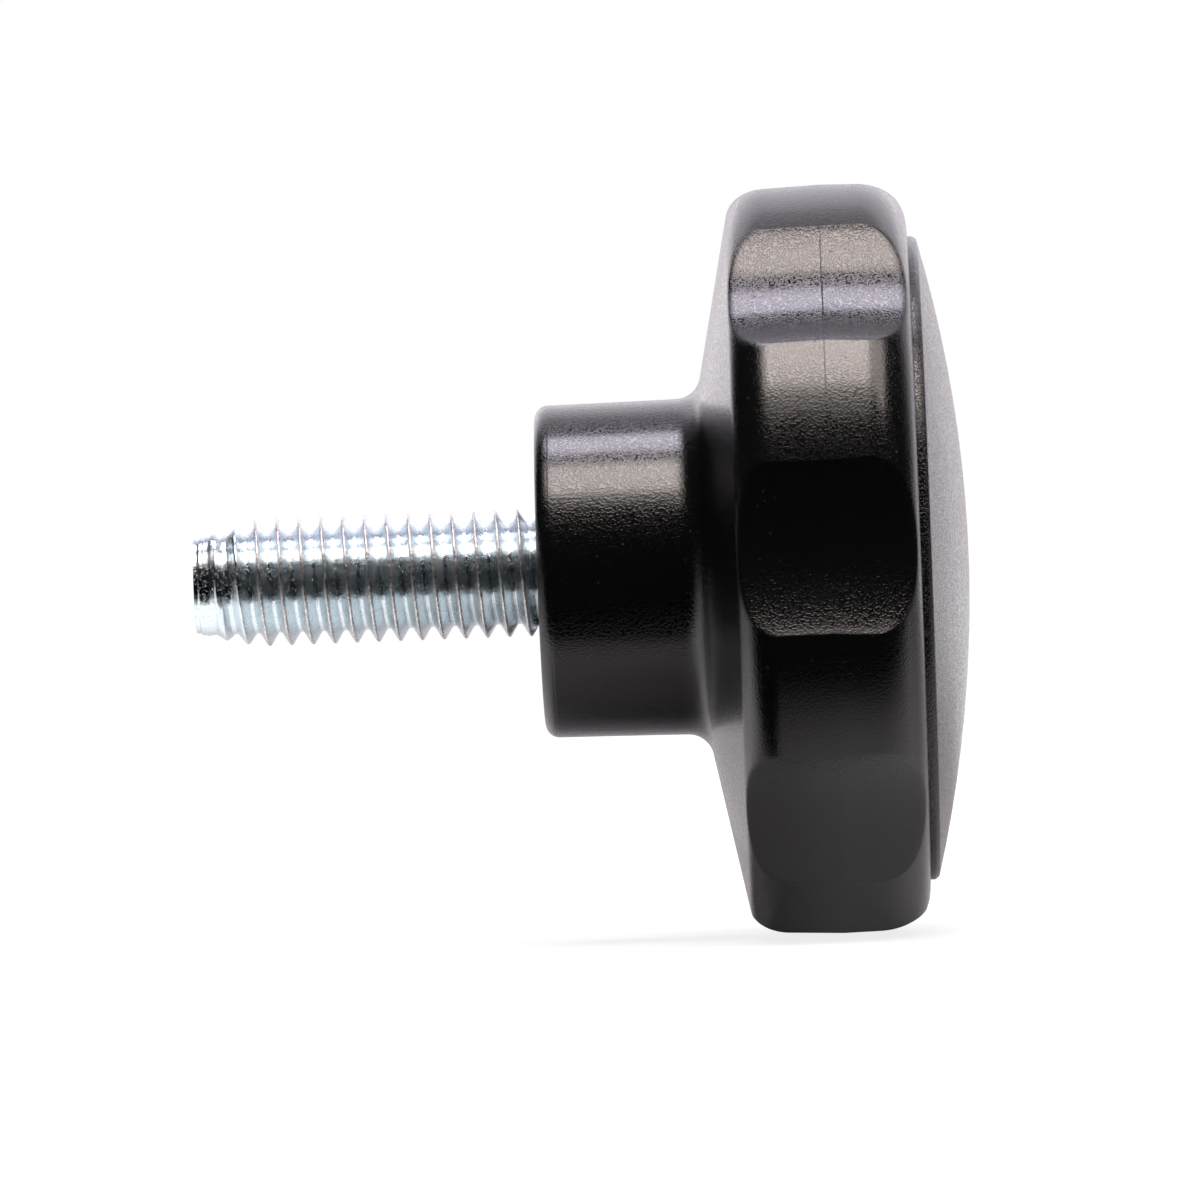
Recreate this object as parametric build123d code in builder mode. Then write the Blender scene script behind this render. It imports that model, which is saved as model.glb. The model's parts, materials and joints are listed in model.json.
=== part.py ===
from build123d import *
from math import radians, sqrt, tan
import os

os.makedirs("parts", exist_ok=True)

# Hand-tightened clamping knob with eight finger scallops, a fixed M6 stud and a cover cap.
# Millimetres. The origin is the centre of the hub's bearing face. +X runs along the knob's
# axis from the stud to the cap, and +Z is up.

# Threaded stud: an M6 hexagon screw whose head is moulded into the hub
thread_diameter = 5.85    # over the crests of the rolled thread
stud_reach = 15.8         # from the hub face to the tip
tip_diameter = 4.4        # flat at the end of the lead-in cone
tip_length = 1.5          # length of the lead-in cone
shank_diameter = 5.3      # inside the hub, at the thread's blank diameter
anchor_across_flats = 10.0
anchor_height = 4.0
anchor_offset = 1.0       # from the foot of the hub to the underside of the screw's head
mould_gap = 0.03          # between the moulding and the screw

# Hub and head of the knob
hub_radius = 7.6          # at the bearing face
hub_length = 7.44
hub_draft = 0.8           # degrees
hub_edge_fillet = 0.63
relief_depth = 0.6        # recess round the stud, so that a part with a burred hole seats flat
relief_gap = 0.3          # from the thread to the wall of that recess
hub_root_fillet = 1.15
head_radius = 17.44       # over the lobes, at the parting line
back_rise = 1.91          # how far the back cone climbs from the hub to the rim
rim_back = 3.98           # from the back corner of the rim to the parting line
rim_front = 3.97           # from the parting line to the front face
rim_back_draft = 2.2      # degrees
rim_front_draft = 0.5     # degrees
rim_back_fillet = 1.83
rim_front_fillet = 2.29

# Finger scallops
scallop_count = 8
scallop_radius = 10.0
scallop_depth = 1.2
scallop_draft = 2.3       # degrees, opening both ways from the parting line
scallop_turn = -2.0       # degrees, first scallop from +Y towards +Z

# Cored inside of the head
web_thickness = 3.0       # wall behind the pockets
boss_wall = 1.5           # round the screw's head
boss_cover = 1.4          # in front of the screw's head
rib_thickness = 1.5
ring_thickness = 1.4
rib_clearance = 0.2       # from the ribs to the cap's spigot
weld = 0.5                # how far the ribs run into the walls that carry them

# Cover cap
face_land = 1.51          # from the root of a scallop to the edge of the cap
cap_proud = 0.4           # height of the cap's edge above the front face
cap_sink = 1.2            # depth of the cap's seat below the front face
cap_edge_chamfer = 0.15
cap_wall = 1.7
dome_radius = 57.5
ledge_width = 2.1         # of the seat that the cap's rim rests on
spigot_wall = 1.2
spigot_length = 1.5
snap_bead = 0.25
cap_gap = 0.08            # round the cap, its spigot and its bead

# Places along the axis
back_corner = hub_length + back_rise
parting = back_corner + rim_back
head_front = parting + rim_front
cap_seat = head_front - cap_sink
spigot_end = cap_seat - spigot_length
rib_top = spigot_end - rib_clearance
anchor_seat = hub_length + anchor_offset
boss_top = anchor_seat + anchor_height + boss_cover

# Radii that follow from the sizes above
hub_root_radius = hub_radius + hub_length * tan(radians(hub_draft))
back_corner_radius = head_radius - rim_back * tan(radians(rim_back_draft))
front_corner_radius = head_radius - rim_front * tan(radians(rim_front_draft))
scallop_centre = head_radius - scallop_depth + scallop_radius
cap_radius = head_radius - scallop_depth - face_land
recess_radius = cap_radius + cap_gap
cavity_radius = recess_radius - ledge_width
spigot_radius = cavity_radius - cap_gap
boss_radius = anchor_across_flats / sqrt(3) + boss_wall
ring_radius = (boss_radius + cavity_radius) / 2

# The floor of the pockets runs parallel to the back cone
back_slope = back_rise / (back_corner_radius - hub_root_radius)
floor_at_boss = hub_length + web_thickness + (boss_radius - hub_root_radius) * back_slope
floor_at_wall = hub_length + web_thickness + (cavity_radius - hub_root_radius) * back_slope

# Middle of the dome's sphere, and of the snap bead on the spigot
dome_edge_height = sqrt(dome_radius**2 - cap_radius**2)
dome_centre = head_front + cap_proud - dome_edge_height
bead_place = cap_seat - spigot_length / 2

# Knob body: the moulded hub and head
hub_edge = (0, hub_radius)
hub_root = (hub_length, hub_root_radius)
rim_back_corner = (back_corner, back_corner_radius)
rim_front_corner = (head_front, front_corner_radius)

with BuildPart() as knob_body:
    with BuildSketch(Plane.XY) as body_section:
        with BuildLine():
            Polyline(
                (0, 0),
                hub_edge,
                hub_root,
                rim_back_corner,
                (parting, head_radius),
                rim_front_corner,
                (head_front, 0),
                close=True,
            )
        make_face()
        fillet(body_section.vertices().sort_by_distance(hub_edge)[0], hub_edge_fillet)
        fillet(body_section.vertices().sort_by_distance(hub_root)[0], hub_root_fillet)
        fillet(body_section.vertices().sort_by_distance(rim_back_corner)[0], rim_back_fillet)
        fillet(body_section.vertices().sort_by_distance(rim_front_corner)[0], rim_front_fillet)
    revolve(axis=Axis.X)

    # Scallops, cut from the parting line towards both ends of the mould
    with BuildSketch(Plane.YZ.offset(parting)):
        with PolarLocations(scallop_centre, scallop_count, start_angle=scallop_turn):
            Circle(scallop_radius)
    extrude(amount=parting, both=True, taper=-scallop_draft, mode=Mode.SUBTRACT)

    # Cavity and cap seat, turned out round the boss that holds the screw
    with BuildSketch(Plane.XY):
        with BuildLine():
            Polyline(
                (boss_top, 0),
                (boss_top, boss_radius),
                (floor_at_boss, boss_radius),
                (floor_at_wall, cavity_radius),
                (cap_seat, cavity_radius),
                (cap_seat, recess_radius),
                (head_front + cap_sink, recess_radius),
                (head_front + cap_sink, 0),
                close=True,
            )
        make_face()
        with Locations((bead_place, spigot_radius)):
            RegularPolygon(snap_bead + cap_gap, 4)
    revolve(axis=Axis.X, mode=Mode.SUBTRACT)

    # Ribs behind the lobes, and the ring that ties them together
    with BuildSketch(Plane.YZ.offset(floor_at_boss - weld)):
        with PolarLocations(0, scallop_count, start_angle=scallop_turn + 180 / scallop_count):
            Rectangle(cavity_radius + weld, rib_thickness, align=(Align.MIN, Align.CENTER))
        with BuildSketch(mode=Mode.PRIVATE) as ring:
            Circle(ring_radius + ring_thickness / 2)
            Circle(ring_radius - ring_thickness / 2, mode=Mode.SUBTRACT)
        add(ring.sketch)
    extrude(amount=rib_top - floor_at_boss + weld)

    # Recess in the bearing face, and room for the screw that the hub is moulded on
    with BuildSketch(Plane.YZ):
        Circle(thread_diameter / 2 + relief_gap)
    extrude(amount=relief_depth, mode=Mode.SUBTRACT)
    with BuildSketch(Plane.YZ):
        Circle(shank_diameter / 2 + mould_gap)
    extrude(amount=anchor_seat, mode=Mode.SUBTRACT)
    with BuildSketch(Plane.YZ.offset(anchor_seat)):
        RegularPolygon(anchor_across_flats / 2 + mould_gap, 6, major_radius=False)
    extrude(amount=anchor_height + mould_gap, mode=Mode.SUBTRACT)

knob_body.part.label = "knob_body"
export_step(knob_body.part, "parts/knob_body.step")

# Threaded stud: the screw, with its thread as a plain cylinder over the crests
with BuildPart() as threaded_stud:
    with BuildSketch(Plane.XY):
        with BuildLine():
            Polyline(
                (-stud_reach, 0),
                (-stud_reach, tip_diameter / 2),
                (tip_length - stud_reach, thread_diameter / 2),
                (0, thread_diameter / 2),
                (0, shank_diameter / 2),
                (anchor_seat, shank_diameter / 2),
                (anchor_seat, 0),
                close=True,
            )
        make_face()
    revolve(axis=Axis.X)
    with BuildSketch(Plane.YZ.offset(anchor_seat)):
        RegularPolygon(anchor_across_flats / 2, 6, major_radius=False)
    extrude(amount=anchor_height)

threaded_stud.part.label = "threaded_stud"
export_step(threaded_stud.part, "parts/threaded_stud.step")

# Cover cap: a domed disc that rests on the ledge and snaps in by its spigot
cap_edge = (head_front + cap_proud, cap_radius)

with BuildPart() as cover_cap:
    with BuildSketch(Plane.XY) as cap_section:
        with Locations((dome_centre, 0)):
            Circle(dome_radius)
        with Locations((cap_seat, 0)):
            Rectangle(dome_radius, cap_radius, align=(Align.MIN, Align.MIN), mode=Mode.INTERSECT)
        chamfer(cap_section.vertices().sort_by_distance(cap_edge)[0], cap_edge_chamfer)
        with Locations((spigot_end, spigot_radius - spigot_wall)):
            Rectangle(spigot_length, spigot_wall, align=(Align.MIN, Align.MIN))
        with Locations((bead_place, spigot_radius)):
            RegularPolygon(snap_bead, 4)
    revolve(axis=Axis.X)

    # Hollow underside, one wall below the dome
    with BuildSketch(Plane.XY):
        with Locations((dome_centre, 0)):
            Circle(dome_radius - cap_wall)
        with Locations((spigot_end, 0)):
            Rectangle(
                dome_radius,
                spigot_radius - spigot_wall,
                align=(Align.MIN, Align.MIN),
                mode=Mode.INTERSECT,
            )
    revolve(axis=Axis.X, mode=Mode.SUBTRACT)

cover_cap.part.label = "cover_cap"
export_step(cover_cap.part, "parts/cover_cap.step")
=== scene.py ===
import json
import math

import bmesh
import bpy
from mathutils import Matrix, Vector


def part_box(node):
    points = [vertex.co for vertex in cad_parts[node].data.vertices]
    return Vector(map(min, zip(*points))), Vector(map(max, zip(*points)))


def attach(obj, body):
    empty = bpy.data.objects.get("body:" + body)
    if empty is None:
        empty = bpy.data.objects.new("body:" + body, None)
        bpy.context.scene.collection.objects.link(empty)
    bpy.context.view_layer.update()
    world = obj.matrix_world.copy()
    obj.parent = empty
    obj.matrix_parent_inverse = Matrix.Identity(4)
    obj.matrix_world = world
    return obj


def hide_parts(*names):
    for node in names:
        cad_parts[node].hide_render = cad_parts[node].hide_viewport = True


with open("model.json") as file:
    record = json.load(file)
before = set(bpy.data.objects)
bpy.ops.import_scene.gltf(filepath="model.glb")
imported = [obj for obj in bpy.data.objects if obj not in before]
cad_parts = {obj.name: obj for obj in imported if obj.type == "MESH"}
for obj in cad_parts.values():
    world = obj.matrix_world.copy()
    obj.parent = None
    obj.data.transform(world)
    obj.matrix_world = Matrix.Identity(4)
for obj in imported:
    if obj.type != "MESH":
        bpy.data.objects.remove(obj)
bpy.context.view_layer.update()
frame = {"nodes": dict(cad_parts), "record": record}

# A lobed clamping knob with a threaded stud, seen from the side on white paper. Metres.
# The origin is the middle of the hub's face, and +X runs along the axis to the cap.
MM = 0.001


# ---------------------------------------------------------------- places from the frame
body_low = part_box("knob_body")[0]
stud_low, stud_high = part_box("threaded_stud")
cap_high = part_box("cover_cap")[1]
mounts = {m["name"]: m for m in frame["record"]["mounts"]}

floor_height = body_low.z
tip = stud_low.x                                   # end of the thread
crest = mounts["stud"]["dims"]["r_mm"] * MM        # radius over the thread's crests

# Forms of the mouldings that their boxes don't give
parting_line = 13.33 * MM                          # where the two halves of the mould meet
hub_middle = 3.7 * MM
hub_witness = 0.63 * MM                            # line left by the insert that forms the hub's face
dome_radius = 57.5 * MM
scallop_count = 8
scallop_centre = 26.24 * MM                        # from the knob's axis
scallop_spacing = 2 * math.pi / scallop_count
first_scallop = math.radians(-2)                   # from +Y towards +Z


# ---------------------------------------------------------------- camera
view_distance = 500 * MM
frame_width = 54.97 * MM                           # seen at the object's axis
azimuth = math.radians(1.03)
roll = math.radians(2.12)
level = Vector((math.cos(azimuth), math.sin(azimuth), 0))
upright = Vector((0, 0, 1))
right = math.cos(roll) * level - math.sin(roll) * upright
up = math.sin(roll) * level + math.cos(roll) * upright
back = right.cross(up)
aim = 2.73 * MM * right - 1.28 * MM * up           # middle of the picture


def add_camera():
    data = bpy.data.cameras.new("camera")
    data.sensor_width = 36
    data.lens = data.sensor_width * view_distance / frame_width
    data.clip_start = 0.1
    data.clip_end = 10
    camera = bpy.data.objects.new("camera", data)
    turned = Matrix((right, up, back)).transposed().to_4x4()
    camera.matrix_world = Matrix.Translation(aim + back * view_distance) @ turned
    bpy.context.scene.collection.objects.link(camera)
    bpy.context.scene.camera = camera


add_camera()
bpy.context.scene.view_settings.view_transform = "Standard"


# ---------------------------------------------------------------- node helper
class Nodes:
    """Builds a node tree a line at a time: values and sockets go in by the input's name or number."""

    def __init__(self, tree):
        self.tree = tree
        tree.nodes.clear()

    def new(self, kind, inputs=None, **settings):
        node = self.tree.nodes.new(kind)
        for name, value in settings.items():
            setattr(node, name, value)
        for key, value in (inputs or {}).items():
            self.set(node.inputs[key], value)
        return node

    def set(self, socket, value):
        if isinstance(value, bpy.types.NodeSocket):
            self.tree.links.new(value, socket)
        else:
            socket.default_value = value

    def math(self, operation, a, b=0.0, c=0.0):
        return self.new("ShaderNodeMath", {0: a, 1: b, 2: c}, operation=operation).outputs[0]

    def vector(self, operation, a, b=(0, 0, 0), scale=1.0):
        node = self.new("ShaderNodeVectorMath", {0: a, 1: b, 3: scale}, operation=operation)
        return node.outputs["Value" if operation in ("DOT_PRODUCT", "LENGTH") else "Vector"]

    def ramp(self, value, low, high, to_low=0.0, to_high=1.0, kind="SMOOTHSTEP"):
        node = self.new("ShaderNodeMapRange", {"Value": value, "From Min": low, "From Max": high,
                                               "To Min": to_low, "To Max": to_high}, interpolation_type=kind)
        return node.outputs["Result"]

    def mix(self, factor, a, b):
        node = self.new("ShaderNodeMix", {"Factor": factor}, data_type="RGBA")
        self.set(node.inputs[6], a)
        self.set(node.inputs[7], b)
        return node.outputs[2]

    def noise(self, place, scale, detail=2.0):
        node = self.new("ShaderNodeTexNoise", {"Vector": place, "Scale": scale, "Detail": detail})
        return node.outputs["Fac"]

    def place(self):
        return self.new("ShaderNodeTexCoord").outputs["Object"]

    def split(self, vector):
        return self.new("ShaderNodeSeparateXYZ", {0: vector}).outputs

    def join(self, x, y, z):
        return self.new("ShaderNodeCombineXYZ", {0: x, 1: y, 2: z}).outputs[0]

    def distance_from_x(self, xyz):
        squares = self.math("MULTIPLY_ADD", xyz[1], xyz[1], self.math("MULTIPLY", xyz[2], xyz[2]))
        return self.math("SQRT", squares)

    def distance_along_x(self, xyz, start):
        return self.math("ABSOLUTE", self.math("SUBTRACT", xyz[0], start))

    def mirrored(self, path):
        """1 for what is seen by reflection or through something clear."""
        return self.math("MAXIMUM", path["Is Glossy Ray"], path["Is Transmission Ray"])


def new_material(name):
    material = bpy.data.materials.new(name)
    material.use_nodes = True
    return material, Nodes(material.node_tree)


# ---------------------------------------------------------------- moulded plastic
black_nylon = (0.003, 0.003, 0.0031, 1)
nylon_ior = 1.53
plateau_roughness = 0.11
pit_roughness = 0.22

# Scales of the noises, per metre
plateau_scale = 9300
fine_scale = 22000
nick_scale = 4200
wave_scale = 420
pressure_scale = 260

# Height of a plateau, and what else the relief holds as shares of it
body_grain = 0.0043 * MM
cap_grain = 0.019 * MM
fine_height = 0.25
nick_depth = 3.0
wave_height = 1.5
line_height = (1.0, 2.2)                           # of the mould lines, where least and most pressed
line_reach = 0.04 * MM                             # half the width of one
crown_grain = 0.65                                 # what hands have left of the grain on the crowns
crown_line = 0.55                                  # and of the parting line

# Levels of the noises: from where to where a form rises, and above which a nick begins
plateau_edge = (0.42, 0.58)
pressure_range = (0.35, 0.65)
body_nicks = 0.76
cap_nicks = 0.66
nick_edge = 0.03

# Stretches over which the finish changes, from one place to the other
to_crown = (17.0 * MM, 17.3 * MM)                  # off the axis, on the lobes
to_rims = (2.2 * MM, 3.2 * MM)                     # from the parting line
off_pole = (1.5 * MM, 2.5 * MM)                    # off the axis, in the middle of the dome
edge_radius = (0.11 * MM, 0.48 * MM)               # of rounded edges, by the parting line and at the rims

# How far off the axis the mesh's own normals are good
scallop_reach = 15.5 * MM
lobe_reach = 17.1 * MM
reach_fade = 0.2 * MM
alike_fade = (0.97, 0.985)                         # cosine of the angle to the normal that is put back


def spark_eroded(n, place, nicks_above):
    """Small shiny plateaus, and the height of them with the fine grain and the nicks."""
    plateaus = n.ramp(n.noise(place, plateau_scale, detail=1.0), *plateau_edge)
    fine = n.noise(place, fine_scale, detail=1.0)
    nicks = n.ramp(n.noise(place, nick_scale, detail=1.0), nicks_above, nicks_above + nick_edge)
    height = n.math("MULTIPLY_ADD", fine, fine_height, plateaus)
    return plateaus, n.math("MULTIPLY_ADD", nicks, -nick_depth, height)


def rounded_edges(n, xyz):
    """Normals that round the edges off, least of all at the parting line."""
    radius = n.ramp(n.distance_along_x(xyz, parting_line), *to_rims, *edge_radius)
    return n.new("ShaderNodeBevel", {"Radius": radius}, samples=4).outputs[0]


def nylon(n, place, plateaus, height, grain, normal):
    """Black nylon with this grain on it, and the slow waves of a moulding under it."""
    height = n.math("MULTIPLY_ADD", n.noise(place, wave_scale), wave_height, height)
    bump = n.new("ShaderNodeBump", {"Height": height, "Distance": grain, "Normal": normal})
    shader = n.new("ShaderNodeBsdfPrincipled", {
        "Base Color": black_nylon,
        "Roughness": n.ramp(plateaus, 0.0, 1.0, pit_roughness, plateau_roughness),
        "IOR": nylon_ior,
        "Normal": bump.outputs[0],
    })
    n.new("ShaderNodeOutputMaterial", {"Surface": shader.outputs[0]})


def mould_lines(n, place, xyz, sheltered):
    """Raised lines where the halves of the mould and the hub's insert met, rubbed down on the crowns."""
    parting = n.ramp(n.distance_along_x(xyz, parting_line), 0.0, line_reach, 1.0, 0.0)
    parting = n.math("MULTIPLY", parting, n.ramp(sheltered, 0.0, 1.0, crown_line, 1.0))
    witness = n.ramp(n.distance_along_x(xyz, hub_witness), 0.0, line_reach, 1.0, 0.0)
    pressed = n.ramp(n.noise(place, pressure_scale, detail=1.0), *pressure_range, *line_height)
    return n.math("MULTIPLY", n.math("ADD", parting, witness), pressed)


def mended_rim(n, place, xyz, off_axis, normal):
    """The mesh's normals lean over at the scallops' edges, so the scallops' and lobes' own are put back."""
    smooth = n.new("ShaderNodeNewGeometry").outputs["Normal"]
    turned = n.math("SUBTRACT", n.math("ARCTAN2", xyz[2], xyz[1]), first_scallop)
    nearest = n.math("ROUND", n.math("DIVIDE", turned, scallop_spacing))
    middle = n.math("MULTIPLY_ADD", nearest, scallop_spacing, first_scallop)
    across = n.math("MULTIPLY", n.math("COSINE", middle), scallop_centre)
    upward = n.math("MULTIPLY", n.math("SINE", middle), scallop_centre)
    centre = n.join(xyz[0], across, upward)
    in_scallop = n.vector("NORMALIZE", n.vector("SUBTRACT", centre, place))
    on_lobe = n.vector("NORMALIZE", n.vector("MULTIPLY", place, (0, 1, 1)))
    for true, reach in ((in_scallop, scallop_reach), (on_lobe, lobe_reach)):
        on_rim = n.ramp(off_axis, reach - reach_fade, reach)
        alike = n.ramp(n.vector("DOT_PRODUCT", true, smooth), *alike_fade)
        missing = n.vector("MULTIPLY", n.vector("SUBTRACT", true, smooth), (0, 1, 1))
        missing = n.vector("SCALE", missing, scale=n.math("MULTIPLY", on_rim, alike))
        normal = n.vector("ADD", normal, missing)
    return n.vector("NORMALIZE", normal)


def mended_pole(n, place, off_axis, normal):
    """The mesh has a wrong normal at the middle of the dome, so there the sphere's own is used."""
    centre = (cap_high.x - dome_radius, 0, 0)
    sphere = n.vector("NORMALIZE", n.vector("SUBTRACT", place, centre))
    good = n.ramp(off_axis, *off_pole)
    kept = n.vector("SCALE", normal, scale=good)
    taken = n.vector("SCALE", sphere, scale=n.math("SUBTRACT", 1.0, good))
    return n.vector("NORMALIZE", n.vector("ADD", kept, taken))


def body_plastic():
    """Full grain, but for the lobes' crowns, which hands have rubbed, and the mould's lines."""
    material, n = new_material("body_plastic")
    place = n.place()
    xyz = n.split(place)
    off_axis = n.distance_from_x(xyz)
    plateaus, height = spark_eroded(n, place, body_nicks)
    sheltered = n.ramp(off_axis, *to_crown, 1.0, 0.0)
    height = n.math("MULTIPLY", height, n.ramp(sheltered, 0.0, 1.0, crown_grain, 1.0))
    height = n.math("ADD", height, mould_lines(n, place, xyz, sheltered))
    normal = mended_rim(n, place, xyz, off_axis, rounded_edges(n, xyz))
    nylon(n, place, plateaus, height, body_grain, normal)
    return material


def cap_plastic():
    """The same grain, deeper and with more nicks."""
    material, n = new_material("cap_plastic")
    place = n.place()
    xyz = n.split(place)
    plateaus, height = spark_eroded(n, place, cap_nicks)
    normal = mended_pole(n, place, n.distance_from_x(xyz), rounded_edges(n, xyz))
    nylon(n, place, plateaus, height, cap_grain, normal)
    return material


def dress(node, material):
    mesh = frame["nodes"][node].data
    mesh.materials.clear()
    mesh.materials.append(material)


dress("knob_body", body_plastic())
dress("cover_cap", cap_plastic())


# ---------------------------------------------------------------- screw with its rolled thread
pitch = 1.0 * MM
root = 2.33 * MM              # radius at the grooves' floor
crest_flat = 0.028 * MM       # half the width of a crest
root_flat = 0.09 * MM         # half the width of a groove's floor
flank_curve = 0.2             # share of a flank's fall that is eased at both ends
tip_radius = 2.24 * MM
lead_in = 3.2 * MM            # stretch over which the crests grow to full height
lead_in_power = 1.47          # how soon they do
shallowest = 0.015 * MM       # depth of the groove at the tip
tip_rings = 1.3 * MM          # stretch at the tip where the blank is turned down in steps
ring_pitch = 0.26 * MM
thread_phase = -1.0 * MM      # where a crest passes the top of the stud
turn_steps = 120
steps_per_pitch = 24

shank_radius = 2.65 * MM
shank_sides = 48
head_height = 4.0 * MM
head_corner = stud_high.y     # from the axis to the corners of the hexagon

merge_distance = 0.0005 * MM
shortest_edge = 0.0004 * MM
sharp_angle = math.radians(50)


def thread_drop(offset):
    """Fall from the crest, from 0 to 1, at a distance along the axis from its middle."""
    flank = (abs(offset) - crest_flat) / (pitch / 2 - root_flat - crest_flat)
    flank = min(max(flank, 0.0), 1.0)
    eased = flank * flank * (3 - 2 * flank)
    return flank_curve * eased + (1 - flank_curve) * flank


def crest_envelope(from_tip):
    """Crest radius, which falls towards the tip where the blank was bevelled."""
    if from_tip < tip_rings:
        # Each ring is level for two thirds of its length, then rises to the next
        ring, part = divmod(from_tip / ring_pitch, 1)
        from_tip = (ring + max(part * 3 - 2, 0)) * ring_pitch
    grow = min(from_tip / lead_in, 1.0)
    return tip_radius + (crest - tip_radius) * (1 - (1 - grow) ** lead_in_power)


def thread_grid():
    """Points and faces of the thread. Its rows follow the helix, so each turn joins the next one."""
    turns = round(-tip / pitch) + 2                # two to spare, which the ends cut off
    rows = turns * steps_per_pitch
    verts = []
    for i in range(turn_steps):
        angle = 2 * math.pi * i / turn_steps
        for j in range(rows + 1):
            along = (j / steps_per_pitch - turns + 1 + i / turn_steps) * pitch + thread_phase % pitch
            offset = ((j / steps_per_pitch + 0.5) % 1 - 0.5) * pitch
            x = min(max(along, tip), 0.0)
            outer = crest_envelope(x - tip)
            radius = outer - (outer - min(root, outer - shallowest)) * thread_drop(offset)
            verts.append((x, -radius * math.sin(angle), radius * math.cos(angle)))
    faces = []
    for i in range(turn_steps):
        shift = steps_per_pitch if i == turn_steps - 1 else 0
        k = (i + 1) % turn_steps
        for j in range(rows - shift):
            a = i * (rows + 1) + j
            b = k * (rows + 1) + j + shift
            faces.append((a, b, b + 1, a + 1))
    return verts, faces


def prism(shape, sides, radius, start, end):
    """Adds a prism along X, its first corner on the Y axis."""
    rings = []
    for x in (start, end):
        turn = [2 * math.pi * k / sides for k in range(sides)]
        rings.append([shape.verts.new((x, radius * math.cos(t), radius * math.sin(t))) for t in turn])
    for k in range(sides):
        shape.faces.new((rings[0][k - 1], rings[0][k], rings[1][k], rings[1][k - 1]))
    for ring in rings:
        shape.faces.new(ring)


def rolled_stud():
    """The thread, and the plain shank and hexagon head that the hub hides."""
    mesh = bpy.data.meshes.new("rolled_stud")
    verts, faces = thread_grid()
    mesh.from_pydata(verts, [], faces)
    shape = bmesh.new()
    shape.from_mesh(mesh)
    bmesh.ops.remove_doubles(shape, verts=shape.verts, dist=merge_distance)
    bmesh.ops.dissolve_degenerate(shape, dist=shortest_edge, edges=shape.edges)
    ends = [e for e in shape.edges if e.is_boundary]
    bmesh.ops.holes_fill(shape, edges=ends, sides=0)
    head_start = stud_high.x - head_height
    prism(shape, shank_sides, shank_radius, 0, head_start)
    prism(shape, 6, head_corner, head_start, stud_high.x)
    bmesh.ops.recalc_face_normals(shape, faces=shape.faces)
    shape.to_mesh(mesh)
    shape.free()
    mesh.shade_smooth()
    mesh.set_sharp_from_angle(angle=sharp_angle)
    stud = bpy.data.objects.new("rolled_stud", mesh)
    bpy.context.scene.collection.objects.link(stud)
    return stud


# Zinc: colours, scales of the noises per metre, their levels, and the relief
clear_zinc = (0.63, 0.73, 0.775, 1)
hazy_zinc = (0.72, 0.79, 0.825, 1)
# Worn crest colour in the dents' hollows, darkened there as painted shade
worn_hollow_painted_shade = (0.5, 0.485, 0.48, 1)
worn_high = (0.75, 0.745, 0.745, 1)
streak_scale = 9000
pit_scale = 9500
dent_scale = 8000
haze_scale = 900
pit_edge = (0.6, 0.65)
dent_edge = (0.4, 0.6)
haze_range = (0.3, 0.7)
streak_radius = 1.3 * MM                           # under the thread's own, which draws the streaks out
streak_height = 0.012 * MM
dent_height = 0.8                                  # as a share of a streak's
pit_depth = 0.5
zinc_roughness = (0.23, 0.31)                      # where clear and where hazy
worn_roughness = 0.06                              # added on the crests
to_crest = (2.79 * MM, 2.88 * MM)                  # off the axis


def zinc_plate(name):
    """Blue-passivated zinc, drawn out round the screw by the rolling, and dented and worn on the crests, with
    painted shade in the dents' hollows.
    """
    material, n = new_material(name)
    place = n.place()
    xyz = n.split(place)
    off_axis = n.distance_from_x(xyz)
    turned = n.math("MULTIPLY", n.math("ARCTAN2", xyz[1], xyz[2]), streak_radius)
    streaks = n.noise(n.join(xyz[0], turned, off_axis), streak_scale, detail=3)
    haze = n.noise(place, haze_scale, detail=3)
    pits = n.ramp(n.noise(place, pit_scale), *pit_edge)
    dents = n.ramp(n.noise(place, dent_scale), *dent_edge)
    worn = n.ramp(off_axis, *to_crest)
    height = n.math("MULTIPLY_ADD", n.math("MULTIPLY", dents, worn), dent_height, streaks)
    height = n.math("MULTIPLY_ADD", pits, -pit_depth, height)
    bump = n.new("ShaderNodeBump", {"Height": height, "Distance": streak_height})
    zinc = n.mix(haze, clear_zinc, hazy_zinc)
    roughness = n.ramp(haze, *haze_range, *zinc_roughness)
    shader = n.new("ShaderNodeBsdfPrincipled", {
        # On the crests the dents' hollows are painted darker as shade, and their high parts keep the worn
        # colour
        "Base Color": n.mix(worn, zinc, n.mix(dents, worn_hollow_painted_shade, worn_high)),
        "Metallic": 1.0,
        "Roughness": n.math("MULTIPLY_ADD", worn, worn_roughness, roughness),
        "Anisotropic": 0.9,
        "Anisotropic Rotation": 0.25,
        "Tangent": n.new("ShaderNodeTangent", direction_type="RADIAL", axis="X").outputs[0],
        "Normal": bump.outputs[0],
    })
    n.new("ShaderNodeOutputMaterial", {"Surface": shader.outputs[0]})
    return material


stud = rolled_stud()
stud.data.materials.append(zinc_plate("zinc_steel"))
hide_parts("threaded_stud")
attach(stud, "root")


# ---------------------------------------------------------------- studio
ambient = 0.3                                      # strength of the world as a light
mirrored_wall = 0.98                               # strength in mirrors, on the wall behind the object
mirrored_dark = 0.01                               # and elsewhere
wall_tint = (1.0, 0.95, 1.0, 1)
ceiling_tint = (0.94, 0.89, 1.0, 1)

# Parts of a unit direction between which the wall's edges fade, and its tint turns to the ceiling's
wall_behind = (0.27, 0.6)
wall_left = (-0.62, -0.42)
wall_right = (0.65, 0.9)
overhead = (0.25, 0.8)


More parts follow.
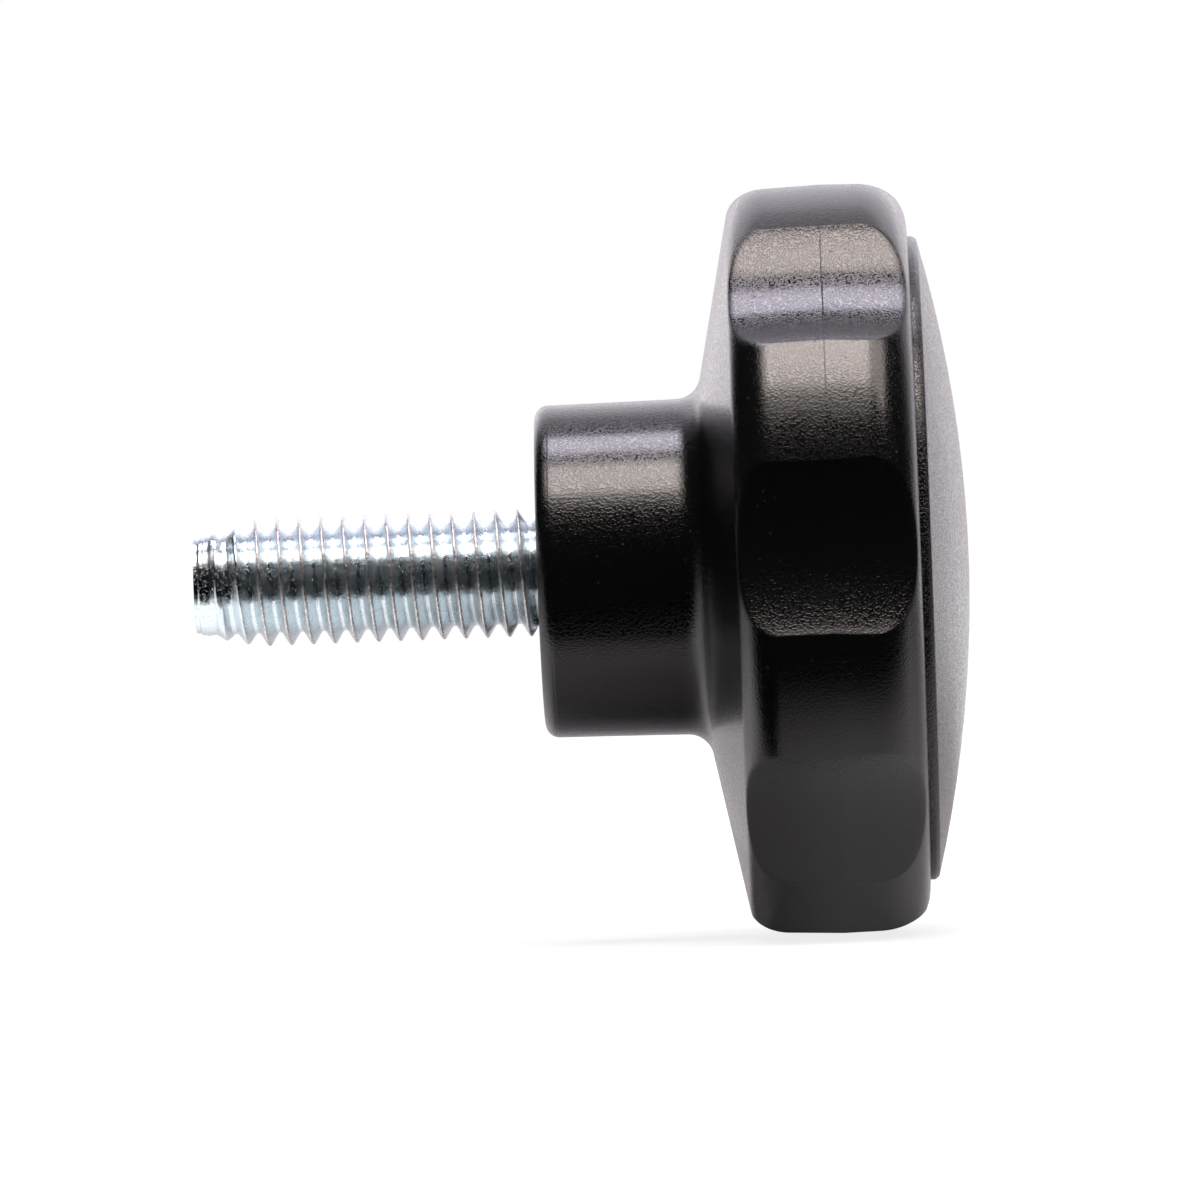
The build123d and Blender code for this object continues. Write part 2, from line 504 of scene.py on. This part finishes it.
def new_world():
    """White to the camera. Mirrors show a wall behind the object, and darkness on its other sides."""
    world = bpy.data.worlds.new("studio")
    bpy.context.scene.world = world
    world.use_nodes = True
    n = Nodes(world.node_tree)
    path = n.new("ShaderNodeLightPath").outputs
    mirrored = n.mirrored(path)
    aimed = n.split(n.new("ShaderNodeTexCoord").outputs["Generated"])
    sides = n.math("MULTIPLY", n.ramp(aimed[0], *wall_left), n.ramp(aimed[0], *wall_right, 1.0, 0.0))
    wall = n.math("MULTIPLY", n.ramp(aimed[1], *wall_behind), sides)
    wall = n.math("MULTIPLY_ADD", wall, mirrored_wall - mirrored_dark, mirrored_dark)
    strength = n.ramp(mirrored, 0, 1, ambient, wall, "LINEAR")
    strength = n.ramp(path["Is Camera Ray"], 0, 1, strength, 1.0, "LINEAR")
    tint = n.mix(n.ramp(aimed[2], *overhead), wall_tint, ceiling_tint)
    tint = n.mix(mirrored, (1, 1, 1, 1), tint)
    background = n.new("ShaderNodeBackground", {"Color": tint, "Strength": strength})
    n.new("ShaderNodeOutputWorld", {"Surface": background.outputs[0]})


new_world()


def plane(name, centre, along, width, length):
    """A flat sheet on the stage. Its width runs along X, and its length in the direction given."""
    across = Vector((1, 0, 0)) * width / 2
    along = Vector(along) * length / 2
    corners = [Vector(centre) + a * across + b * along for a, b in ((-1, -1), (1, -1), (1, 1), (-1, 1))]
    mesh = bpy.data.meshes.new(name)
    mesh.from_pydata(corners, [], [(0, 1, 2, 3)])
    sheet = bpy.data.objects.new(name, mesh)
    bpy.context.scene.collection.objects.link(sheet)
    return sheet


floor_size = 6.0
lit_grey = (0.4, 0.4, 0.4, 1)
seen_grey = (0.22, 0.22, 0.22, 1)
lift_fade = (60 * MM, 300 * MM)                    # from the origin
lift_strength = (0.82, 1.0)

# The paper's mirrored glow: from where to where it changes, and from what strength to what
beside_hub = (4 * MM, 10 * MM, 0.07, 0.45)         # from the middle of the hub
before_head = (-12 * MM, -1 * MM, 1.0, 0.05)       # across the axis
along_stud = (-3 * MM, -8 * MM, 0.0, 0.9)          # along the axis
behind_stud = (2 * MM, 25 * MM, 1.0, 0.2)          # across the axis
left_to_right = (-30 * MM, 30 * MM, 0.3, 1.0)      # along the axis
far_off = (100 * MM, 400 * MM, 0.0, 1.0)           # across the axis


def mirrored_glow(n, xyz):
    """How brightly the object mirrors the paper: before the head, under the stud and far behind."""
    from_hub = n.ramp(n.distance_along_x(xyz, hub_middle), *beside_hub)
    under_head = n.math("MULTIPLY", from_hub, n.ramp(xyz[1], *before_head))
    under_stud = n.math("MULTIPLY", n.ramp(xyz[0], *along_stud), n.ramp(xyz[1], *behind_stud))
    far_behind = n.math("MULTIPLY", n.ramp(xyz[0], *left_to_right), n.ramp(xyz[1], *far_off))
    return n.math("MAXIMUM", under_head, n.math("MAXIMUM", under_stud, far_behind))


def paper():
    """White paper. The camera sees it lifted to a full white, with a faint shadow left in."""
    material, n = new_material("floor_paper")
    path = n.new("ShaderNodeLightPath").outputs
    seen = path["Is Camera Ray"]
    place = n.place()
    diffuse = n.new("ShaderNodeBsdfDiffuse", {"Color": n.mix(seen, lit_grey, seen_grey)})
    lift = n.math("MULTIPLY", seen, n.ramp(n.vector("LENGTH", place), *lift_fade, *lift_strength))
    glow = n.math("MULTIPLY", n.mirrored(path), mirrored_glow(n, n.split(place)))
    light = n.new("ShaderNodeEmission", {"Color": (1, 1, 1, 1), "Strength": n.math("ADD", lift, glow)})
    both = n.new("ShaderNodeAddShader", {0: diffuse.outputs[0], 1: light.outputs[0]})
    n.new("ShaderNodeOutputMaterial", {"Surface": both.outputs[0]})
    return material


floor = plane("floor", (0, 0, floor_height), (0, 1, 0), floor_size, floor_size)
floor.data.materials.append(paper())


def flag_cloth(name, fade=None):
    """Black. With a fade, it is clear near the axis and turns black between two distances before it."""
    material, n = new_material(name)
    cover = 1.0
    if fade:
        before = n.math("MULTIPLY", n.split(n.place())[1], -1.0)
        cover = n.ramp(before, *fade)
    black = n.new("ShaderNodeBsdfDiffuse", {"Color": (0.0, 0.0, 0.0, 1)})
    open_air = n.new("ShaderNodeBsdfTransparent")
    both = n.new("ShaderNodeMixShader", {0: cover, 1: open_air.outputs[0], 2: black.outputs[0]})
    n.new("ShaderNodeOutputMaterial", {"Surface": both.outputs[0]})
    return material


def flag(name, cloth, centre, along, width, length):
    """A black sheet in front of the object, there only to be mirrored in it."""
    sheet = plane(name, centre, along, width, length)
    sheet.data.materials.append(cloth)
    sheet.visible_camera = False
    sheet.visible_diffuse = False
    sheet.visible_shadow = False
    sheet.visible_transmission = False


flag_distance = 0.6
front_flag_width = 2.4
front_flag_height = 0.62
front_flag_middle = 0.28
low_flag_width = 1.2
low_flag_seam = 8 * MM                             # where the left and the right one meet
low_flag_height = floor_height + 0.4 * MM
left_fade = (15 * MM, 20 * MM)
right_fade = (14 * MM, 34 * MM)


def low_flag(name, cloth, middle):
    """A flag just over the paper, from the object to the front flag."""
    centre = (middle, -flag_distance / 2, low_flag_height)
    flag(name, cloth, centre, (0, 1, 0), low_flag_width, flag_distance)


flag("flag_front", flag_cloth("flag_cloth"), (0, -flag_distance, front_flag_middle), (0, 0, 1),
     front_flag_width, front_flag_height)
low_flag("flag_left", flag_cloth("flag_left_cloth", left_fade), low_flag_seam - low_flag_width / 2)
low_flag("flag_right", flag_cloth("flag_right_cloth", right_fade), low_flag_seam + low_flag_width / 2)


def softbox(name, distance, elevation, span, half_width, radiance, colour, lean=0):
    """An area light that faces the origin, sized and placed by angles in degrees.

    Elevation runs from the camera's side, through the top, to the back. Span is the light's height,
    and lean tips it towards +X.
    """
    angle = math.radians(elevation)
    tilt = math.radians(lean)
    sideways = Vector((1, 0, 0))
    rise = Vector((0, -math.cos(angle), math.sin(angle)))
    out = math.cos(tilt) * rise + math.sin(tilt) * sideways
    side = math.cos(tilt) * sideways - math.sin(tilt) * rise
    lengthwise = out.cross(side)
    turned = Matrix((side, lengthwise, out)).transposed().to_4x4()
    data = bpy.data.lights.new(name, "AREA")
    data.shape = "RECTANGLE"
    data.size = 2 * distance * math.tan(math.radians(half_width))
    data.size_y = 2 * distance * math.tan(math.radians(span / 2))
    data.color = colour
    data.energy = radiance * math.pi * data.size * data.size_y
    lamp = bpy.data.objects.new(name, data)
    lamp.matrix_world = Matrix.Translation(out * distance) @ turned
    lamp.visible_camera = False
    bpy.context.scene.collection.objects.link(lamp)


near = 0.5                                         # distances of the lights
far = 0.8
key_colour = (1.0, 0.885, 0.85)
skirt_colour = (1.0, 0.9, 0.87)
top_colour = (0.93, 0.87, 1.0)
rear_colour = (0.95, 0.9, 1.0)
side_colour = (1.0, 0.95, 1.0)

softbox("key", near, elevation=65.5, span=23.8, half_width=11.5, radiance=12.2, colour=key_colour, lean=2)
softbox("key_left", near, elevation=65.5, span=23.8, half_width=4.5, radiance=4, colour=key_colour, lean=-14)
softbox("key_right", near, elevation=65.5, span=23.8, half_width=14, radiance=5, colour=key_colour, lean=27.5)
softbox("skirt", near, elevation=49, span=9.2, half_width=13, radiance=1.6, colour=skirt_colour)
softbox("top", near, elevation=96.5, span=17, half_width=13, radiance=11.8, colour=top_colour)
softbox("rear", far, elevation=150, span=34, half_width=30, radiance=0.6, colour=rear_colour)
softbox("rear_left", far, elevation=174, span=24, half_width=12, radiance=0.63, colour=side_colour, lean=-22)
softbox("rear_right", far, elevation=176, span=30, half_width=14, radiance=0.4, colour=side_colour, lean=24)
